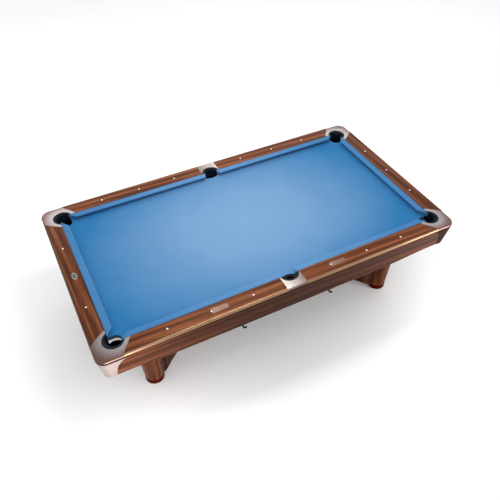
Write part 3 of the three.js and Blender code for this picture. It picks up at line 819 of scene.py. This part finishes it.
def liner_grids(pocket, field_x, field_y):
    """The crescent round a pocket: a flat lip, a bead between grooves, and a roll into the hole."""
    corner = field_x is not None
    inward = pocket["shift"] * (math.sqrt(0.5) if corner else 1)
    outer_centre = np.array([pocket["x"], pocket["y"]], float)
    inner_centre = outer_centre - ((inward, inward) if corner else (0, inward))
    middle = math.pi / 4 if corner else math.pi / 2

    def edge(centre, radius):
        start = math.pi - math.asin((field_y - centre[1]) / radius)
        return np.array(arc(*centre, radius, np.linspace(start, 2 * middle - start, 44)))

    outer, inner = edge(outer_centre, pocket["liner"]), edge(inner_centre, pocket["hole"])
    plan = np.array([outer * (1 - share) + inner * share for share, _ in LINER_PROFILE])
    heights = np.array([[LINER_TOP + z] for _, z in LINER_PROFILE])
    return at_height(plan, heights), at_height(plan, LINER_BOTTOM)


def bucket(x, y, towards_bed=None):
    """The tub under a pocket, ribbed outside; a corner's has its lip cut low towards the bed."""
    radius, wall, taper, top, floor, lip = (
        BUCKET[key] for key in ("radius", "wall", "taper", "top", "floor", "lip"))
    outside = [(0.5, floor), (radius - taper - 8, floor), (radius - taper - 1, floor + 3)]
    for z in np.linspace(floor + 12, top - 6, 24):
        share = (z - floor) / (top - floor)
        rib = 0.8 * math.sin(share * 14 * math.pi) ** 2
        outside.append((radius - taper * (1 - share) - 0.9 + rib, z))
    rim = [(radius, top - 3), (radius - 0.5, top), (radius - wall, top)]
    inside = [(radius - wall - taper, floor + wall + 8), (radius - wall - taper - 8, floor + wall),
              (0.5, floor + wall)]
    points, faces = loft(turned(outside + rim + inside, 56))
    if towards_bed is None:
        return points + (x, y, 0), faces
    cut = (points[:, 1] > BUCKET["window"]) & (points[:, 2] > lip)
    points[cut, 2] = lip + (points[cut, 2] - lip) * 0.02
    c, s = math.cos(towards_bed), math.sin(towards_bed)
    turn = np.array([[c, -s, 0], [s, c, 0], [0, 0, 1]])
    return points @ turn.T + (x, y, 0), faces


# ---------------- apron
def apron_at(z, offset):
    """The apron's inset from the table's outline and its corner radius at a height."""
    down = (APRON_TOP - z) / (APRON_TOP - APRON_BOTTOM)
    inset = APRON_EDGE + APRON_LEAN * down - offset
    radius = CORNER_R - APRON_EDGE + (APRON_FOOT_R - CORNER_R + APRON_EDGE) * down + offset
    return inset, radius


def half_path(inset, radius, long_side, straight, bend):
    """Plan points along one face from its middle to the mitre at 45 degrees round the corner."""
    centre_x, centre_y = TABLE_X - inset - radius, TABLE_Y - inset - radius
    if long_side:
        points = [(x, TABLE_Y - inset) for x in np.linspace(0, centre_x, straight)]
        turns = np.linspace(math.pi / 2, math.pi / 4, bend)[1:]
    else:
        points = [(TABLE_X - inset, y) for y in np.linspace(0, centre_y, straight)]
        turns = np.linspace(0, math.pi / 4, bend)[1:]
    return points + arc(centre_x, centre_y, radius, turns)


def foot_height(along, corner_at):
    """Height of the apron's foot, which sweeps up towards the corner."""
    swept = smooth_step(along, corner_at - RISE_START, corner_at - RISE_END)
    return APRON_BOTTOM + APRON_RISE * swept


def apron_point(k, long_side, share, offset):
    """One point of the apron's face: station `k` along its half, `share` of the way up."""
    x, y = half_path(*apron_at(APRON_BOTTOM, offset), long_side, *APRON_STATIONS)[k]
    foot = foot_height(x, TABLE_X) if long_side else foot_height(y, TABLE_Y)
    z = foot + (APRON_TOP - foot) * share
    x, y = half_path(*apron_at(z, offset), long_side, *APRON_STATIONS)[k]
    return x, y, z


def apron(long_side):
    count = sum(APRON_STATIONS) - 1
    grids = []
    for offset in (0, -APRON_THICK):
        grid = []
        for share in np.linspace(0, 1, 8):
            half = np.array([apron_point(k, long_side, share, offset) for k in range(count)])
            other = half[:0:-1] * ((-1, 1, 1) if long_side else (1, -1, 1))
            grid.append(np.concatenate([other, half]))
        grids.append(grid)
    return shell(*grids, chamfer=1.6)


def cover_reach(z):
    """How far a corner cover reaches from the table's corner at a height: a swept curve."""
    t = np.linspace(0, 1, 60)
    controls = np.array([(110, COVER_FOOT), (116, 700), (126, 755), (192, APRON_TOP)], float)
    weights = np.stack([(1 - t) ** 3, 3 * t * (1 - t) ** 2, 3 * t**2 * (1 - t), t**3], axis=1)
    curve = weights @ controls
    return np.interp(z, curve[:, 1], curve[:, 0])


def corner_cover():
    outer, inner = [], []
    heights = np.concatenate([np.linspace(COVER_FOOT, 745, 12), np.linspace(752, APRON_TOP, 9)])
    for z in heights:
        reach = cover_reach(z)
        for offset, grid in ((COVER_THICK + GAP, outer), (GAP, inner)):
            inset, radius = apron_at(z, offset)
            path = quarter_path(inset, radius, TABLE_X - reach, TABLE_Y - reach, 8, 18)
            grid.append([(x, y, z) for x, y in path])
    return shell(outer, inner, chamfer=0.8)


# ---------------- legs and feet
LEG_STATIONS = (
    (48.3, (73, 0, 0), (60, 62, 32)),
    (80, (74, -1, 0), (60, 140, 84)),
    (120, (76, -3, 1), (60, 233, 132)),
    (180, (78, -6, 2), (60, 314, 171)),
    (280, (84, -11, 3), (60, 370, 199)),
    (430, (90, -15, 5), (60, 396, 214)),
    (LEG_TOP, (97, -20, 7), (60, 404, 220)),
)
WING_INSET = 0.75


def flanked_ring(r0, x0, y0, r1, x1, y1, z, steps):
    """A ring round two circles of a plan, with straight flanks between them."""
    heading = math.atan2(y1 - y0, x1 - x0)
    opening = math.acos((r0 - r1) / math.hypot(x1 - x0, y1 - y0))
    ring = []
    for r, x, y, start, end in ((r1, x1, y1, heading - opening, heading + opening),
                                (r0, x0, y0, heading + opening, heading + 2 * math.pi - opening)):
        ring += [(*point, z) for point in arc(x, y, r, np.linspace(start, end, steps))]
    return ring


def combined(first, points_faces, operation):
    """The first object with its mesh joined with or cut by another."""
    second = add_object("second_work", mesh_from("second_work", points_faces, weld=False))
    modifier = first.modifiers.new("combine", "BOOLEAN")
    modifier.operation = operation
    modifier.solver = "EXACT"
    modifier.object = second
    graph = bpy.context.evaluated_depsgraph_get()
    mesh = bpy.data.meshes.new_from_object(first.evaluated_get(graph))
    first.modifiers.clear()
    old = first.data
    first.data = mesh
    bpy.data.meshes.remove(old)
    bpy.data.objects.remove(second)


def leg_mesh():
    """The leg as in the first quarter with +X and +Y turned to the table's middle."""
    columns, wings = [], []
    for z, r, x, y, *wing in through([(z, *column, *wing) for z, column, wing in LEG_STATIONS], 26):
        columns.append(turned([(r, z)], 64, x, y)[0])
        wings.append(flanked_ring(r * WING_INSET, x, y, *wing, z, 20))
    leg = add_object("leg_work", mesh_from("leg_work", loft(columns), weld=False))
    combined(leg, loft(wings), "UNION")
    bore = turned([(STEM_R + 1, 0), (STEM_R + 1, STEM_TOP + 30)], 32)
    combined(leg, loft(bore), "DIFFERENCE")
    mesh = leg.data
    bpy.data.objects.remove(leg)
    return mesh


def on_wing(point):
    """Whether a point of the leg's skin, as made, lies off its round column."""
    stations = np.array([(z, *column) for z, column, _ in LEG_STATIONS], float) * MM
    radius, x, y = (np.interp(point.z, stations[:, 0], stations[:, k]) for k in (1, 2, 3))
    return math.hypot(point.x - x, point.y - y) > radius * 1.02


def leg_piece(quarter, source, sign_x, sign_y):
    mesh = source.copy()
    mesh.materials.append(LEG_WOOD)
    mesh.materials.append(WING_SHADE_WOOD)
    # Faces on the flanks take the darker walnut, as painted shade.
    for polygon in mesh.polygons:
        polygon.material_index = int(on_wing(polygon.center))
    for vertex in mesh.vertices:
        x, y, z = vertex.co
        vertex.co = (sign_x * (FOOT_X * MM - x), sign_y * (FOOT_Y * MM - y), z)
    if sign_x * sign_y < 0:
        mesh.flip_normals()
    name = f"table_leg_{quarter}"
    mesh.name = name
    finish_piece(name, mesh, [f"leg_{quarter}"], TABLE, sharp=38)


def foot_profile():
    rim = [(62, 0), (67.5, 0), (71.5, 1.2), (73.4, 4), (74, 9), (74, 27), (73.2, 29), (72.2, 30),
           (72.6, 31.5), (73, 34), (72.2, 39), (70, 43.5), (66.5, 46.6), (62, FOOT_HEIGHT)]
    stem = [(STEM_R + 8, FOOT_HEIGHT), (STEM_R, FOOT_HEIGHT)]
    stem += [(STEM_R - (1.1 if k % 2 else 0.0), z)
             for k, z in enumerate(np.arange(FOOT_HEIGHT + 2, STEM_TOP - 2, 1.75))]
    stem += [(STEM_R - 2, STEM_TOP), (0.5, STEM_TOP)]
    return [(0.5, 2), (58, 2), (60, 0)] + rim + stem


# ---------------- small fittings
def tube(path, radii, sides):
    """A round bar along a path in an x-z plane, with a radius for each of its points."""
    path = np.asarray(path, float)
    tangents = np.gradient(path, axis=0)
    rings = []
    for point, tangent, radius in zip(path, tangents, radii):
        t = tangent / np.linalg.norm(tangent)
        side = np.array([0.0, 1.0, 0.0])
        up = np.cross(t, side)
        rings.append([point + radius * (math.cos(a) * side + math.sin(a) * up)
                      for a in np.linspace(0, 2 * math.pi, sides, endpoint=False)])
    return loft(rings)


def hook(x):
    bends = [(0, 0, -2), (4, 0, -18), (11, 0, -37), (19, 0, -48), (28, 0, -50), (36, 0, -43)]
    path = through(bends, 34)
    radii = np.full(len(path), HOOK_ROD)
    radii[-5:] = (6.8, 6.9, 6.3, 4.8, 2.0)
    bar, bar_faces = tube(path, radii, 18)
    profile = [(0.5, 0), (HOOK_PLATE, 0), (HOOK_PLATE, -2.2), (HOOK_PLATE - 0.9, -3), (0.5, -3)]
    plate, plate_faces = loft(turned(profile, 32))
    points = np.concatenate([bar, plate]) + (x, HOOK_Y, APRON_BOTTOM - GAP)
    faces = list(bar_faces) + [tuple(i + len(bar) for i in face) for face in plate_faces]
    return points, faces


def sight(x, y):
    dome = ((6.0, -0.6), (6.0, 0.05), (5.6, 0.3), (4.0, 0.5), (2.0, 0.6), (0.3, 0.62))
    return loft(turned([(radius, RAIL_TOP + z) for radius, z in dome], 28, x, y))


def name_plate(x, y):
    """A thin blank plate with rounded corners, tapering slightly away from its sight."""
    length, near, far, radius = 125.0, 23.0, 19.0, 5.0
    corners = [(0, -near), (length, -far), (length, far), (0, near)]
    ring = []
    for k, (cx, cy) in enumerate(corners):
        ox = radius if cx == 0 else -radius
        oy = radius if cy < 0 else -radius
        start = (math.pi, 1.5 * math.pi, 0, 0.5 * math.pi)[k]
        turns = np.linspace(start, start + math.pi / 2, 7)
        ring += arc(x + cx + ox, y + cy + oy, radius, turns)
    rows = ((RAIL_TOP - 0.4, 1.0), (RAIL_TOP + 0.2, 1.0), (RAIL_TOP + 0.45, 0.985))
    centre = np.array([x + length / 2, y])
    return loft([[(*(centre + (np.array(p) - centre) * k), z) for p in ring] for z, k in rows])


def badge():
    """A low oval dome inside a rim, longer along the rail."""
    inset_heights = [(0, -1.5), (0, 0.2), (0.8, 0.8), (2.4, 0.8), (3.2, 0.3), (6, 0.3), (6.6, 0.6),
                     (12, 0.8), (BADGE_ALONG - 0.4, 0.9)]
    profile = [(BADGE_ALONG - inset, RAIL_TOP + z) for inset, z in inset_heights]
    points, faces = loft(turned(profile, 64))
    return points * (BADGE_ACROSS / BADGE_ALONG, 1, 1) + (BADGE_X, 0, 0), faces


# ---------------- assembly
def rail_cushion(place, made):
    """A cushion's piece, its edges rounded before its normals are weighted."""
    pad = piece(f"rail_cushion_{place}", made, CUSHION_CLOTH, "cloth", f"cushion_{place}", sharp=50)
    bevel = pad.modifiers.new("soft_edges", "BEVEL")
    bevel.width = CUSHION_ROUNDING * MM
    bevel.segments = 3
    bevel.limit_method = "ANGLE"
    bevel.angle_limit = math.radians(40)
    bevel.harden_normals = False
    pad.modifiers.move(len(pad.modifiers) - 1, 0)


def paint_node(name, material):
    """Give a CAD node that stays its material."""
    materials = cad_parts[name].data.materials
    materials.clear()
    materials.append(material)


def paint_faces(made, material, chosen):
    """Give a second material to the faces that `chosen` picks."""
    made.data.materials.append(material)
    for polygon in made.data.polygons:
        polygon.material_index = int(chosen(polygon))


def make_bed():
    cloth = piece("bed_sheet", bed_cloth(), BED_CLOTH, "cloth", "bed_cloth")
    for third in ("left", "middle", "right"):
        paint_node(f"slate_{third}", SLATE)
    paint_node("frame", FRAME_WOOD)


def make_quarter(side, sign_y, end, sign_x, leg_source):
    quarter = f"{side}_{end}"
    flip = mirroring(sign_x, sign_y)
    piece(f"wood_rail_{quarter}", flip(long_rail()), RAIL_WOOD, "walnut", f"rail_{quarter}")
    piece(f"metal_strip_{quarter}", flip(long_strip()), STRIP, "strip", f"edge_strip_{quarter}")
    rail_cushion(quarter, flip(long_cushion()))
    piece(f"casting_{quarter}", flip(corner_casting()), CASTING, "casting",
          f"corner_casting_{quarter}")
    make_liner(quarter, flip, CORNER_POCKET, WOOD_X + GAP, f"corner_liner_{quarter}")
    inward = CORNER_POCKET["shift"] * math.sqrt(0.5)
    x, y = sign_x * (CORNER_POCKET["x"] - inward), sign_y * (CORNER_POCKET["y"] - inward)
    towards_bed = math.atan2(-sign_y, -sign_x) - math.pi / 2
    piece(f"tub_{quarter}", bucket(x, y, towards_bed), POCKET, "bucket", f"corner_bucket_{quarter}")
    # Painted reflection: the near right cover is made dark, the others keep the metal.
    cover_material = DARK_REFLECTION_COVER if quarter == "front_right" else COVER
    piece(f"cover_{quarter}", flip(corner_cover()), cover_material, "casting", f"apron_corner_{quarter}")
    leg_piece(quarter, leg_source, sign_x, sign_y)
    foot = loft(turned(foot_profile(), 64, sign_x * FOOT_X, sign_y * FOOT_Y))
    piece(f"foot_cup_{quarter}", foot, FOOT, "foot", f"levelling_foot_{quarter}",
          body=f"foot_{quarter}")


def make_liner(place, flip, pocket, field_x, node):
    def on_bead(polygon):
        """Whether a face lies on the liner's bead, clear of the flat lip outside it."""
        x, y, z = (abs(v) / MM for v in polygon.center)
        inside = math.hypot(x - pocket["x"], y - pocket["y"]) < pocket["liner"] - LIP_WIDTH
        return inside and abs(z - LINER_TOP) < BEAD_HEIGHT

    made = flip(shell(*liner_grids(pocket, field_x, WOOD_Y + GAP)))
    liner = piece(f"liner_{place}", made, LINER, "liner", node, sharp=60)
    paint_faces(liner, LINER_BEAD, on_bead)


def make_apron(name, made, material, node, outward):
    """An apron's board, its faces that look away from `outward` darkened as painted shade."""
    board = piece(name, made, material, "walnut", node)
    paint_faces(board, INSIDE_SHADE_WOOD, lambda polygon: polygon.normal.dot(Vector(outward)) < -0.5)


def make_side(side, sign_y):
    flip = mirroring(1, sign_y)
    piece(f"casting_{side}", flip(side_casting()), SIDE_CASTINGS[side], "casting",
          f"side_casting_{side}")
    make_liner(side, flip, SIDE_POCKET, None, f"side_liner_{side}")
    y = sign_y * (SIDE_POCKET["y"] - SIDE_POCKET["shift"])
    piece(f"tub_{side}", bucket(0, y), POCKET, "bucket", f"side_bucket_{side}")
    make_apron(f"apron_board_{side}", flip(apron(True)), APRON_WOOD, f"apron_{side}",
               (0, sign_y, 0))


def make_end(end, sign_x):
    flip = mirroring(sign_x, 1)
    piece(f"wood_rail_end_{end}", flip(end_rail()), END_WOOD, "walnut", f"rail_end_{end}")
    piece(f"metal_strip_end_{end}", flip(end_strip()), SHADED_END_STRIP, "strip", f"edge_strip_end_{end}")
    rail_cushion(f"end_{end}", flip(end_cushion()))
    make_apron(f"apron_board_end_{end}", flip(apron(False)), APRON_END_WOOD, f"apron_end_{end}",
               (sign_x, 0, 0))


def make_fittings():
    places = [(k * SIGHT_PITCH, s * SIGHT_Y) for s in (-1, 1) for k in (-3, -2, -1, 1, 2, 3)]
    places += [(s * SIGHT_X, k * SIGHT_PITCH) for s in (-1, 1) for k in (-1, 1)] + [(SIGHT_X, 0)]
    for number, (x, y) in enumerate(places, 1):
        piece(f"sight_{number:02d}", sight(x, y), SIGHT, "badge")
    for name, x in (("left", -2 * SIGHT_PITCH), ("right", SIGHT_PITCH)):
        piece(f"name_plate_{name}", name_plate(x - 2, -SIGHT_Y), PLATE, "badge")

    def on_dome(polygon):
        across = (polygon.center.x / MM - BADGE_X) / BADGE_ACROSS
        along = polygon.center.y / MM / BADGE_ALONG
        return math.hypot(across, along) < BADGE_DOME_SHARE

    paint_faces(piece("oval_badge", badge(), BADGE, "badge", "end_badge"), BADGE_DOME, on_dome)
    piece("recess_band", recess_band(), RECESS_SHADE_WOOD, "walnut")
    for name, x in HOOKS.items():
        piece(f"cue_hook_{name}", hook(x), HOOK, "hook", f"hook_{name}")


def make_table():
    make_bed()
    leg_source = leg_mesh()
    for side, sign_y in SIDES:
        make_side(side, sign_y)
        for end, sign_x in ENDS:
            make_quarter(side, sign_y, end, sign_x, leg_source)
    bpy.data.meshes.remove(leg_source)
    for end, sign_x in ENDS:
        make_end(end, sign_x)
    make_fittings()


# ---------------- floor, light and camera
def make_floor():
    mesh = bpy.data.meshes.new("floor")
    corners = [(x * FLOOR_HALF, y * FLOOR_HALF, 0) for x, y in ((-1, -1), (1, -1), (1, 1), (-1, 1))]
    mesh.from_pydata(corners, [], [(0, 1, 2, 3)])
    floor = add_object("floor", mesh)
    n = Nodes("floor_paint")
    cloud = n.noise(None, 0.6, 3, 0.5)
    n.out(n.ramp(cloud, (0.3, (0.90, 0.90, 0.90)), (0.7, (0.93, 0.93, 0.93))), "Base Color")
    n.set(Roughness=0.9, Specular_IOR_Level=0.1)
    mesh.materials.append(n.material)


def aim(made, place, heading):
    made.location = place
    made.rotation_mode = "QUATERNION"
    made.rotation_quaternion = heading.to_track_quat("-Z", "Y")


def area_light(name, place, target, size, power, color=(1, 1, 1)):
    data = bpy.data.lights.new(name, "AREA")
    data.shape = "RECTANGLE"
    data.size, data.size_y = size
    data.energy = power
    data.color = color
    light = add_object(name, data)
    aim(light, place, Vector(target) - Vector(place))
    light.visible_camera = False


def make_light():
    scene = bpy.context.scene
    world = bpy.data.worlds.new("studio")
    scene.world = world
    world.use_nodes = True
    background = world.node_tree.nodes["Background"]
    background.inputs["Color"].default_value = (1.0, 1.0, 1.0, 1)
    background.inputs["Strength"].default_value = 0.98
    area_light("overhead", (0.0, 0.0, 2.9), (0, 0, 0), (1.3, 0.7), 34)
    area_light("left_low", (-1.4, -1.65, 0.5), (-1.25, -0.8, 0.65), (0.6, 0.5), 12, (1, 0.97, 0.95))
    area_light("right_low", (2.0, -1.75, 0.5), (1.2, -0.8, 0.65), (0.6, 0.5), 15, (1, 0.97, 0.95))
    area_light("back_panel", (1.5, 5.0, 4.2), (0.3, 0, 0.8), (9.0, 2.0), 60)
    area_light("high_panel", (1.2, 4.0, 7.2), (0, -0.7, 0.8), (2.6, 2.4), 34)
    scene.view_settings.view_transform = "Standard"
    scene.view_settings.look = "None"


def make_camera():
    data = bpy.data.cameras.new("camera")
    data.sensor_width = 36.0
    data.lens = CAMERA_LENS_MM
    data.clip_end = 200
    camera = add_object("camera", data)
    aim(camera, CAMERA_PLACE, Vector(CAMERA_HEADING))
    bpy.context.scene.camera = camera


make_camera()
make_light()
make_floor()
make_table()
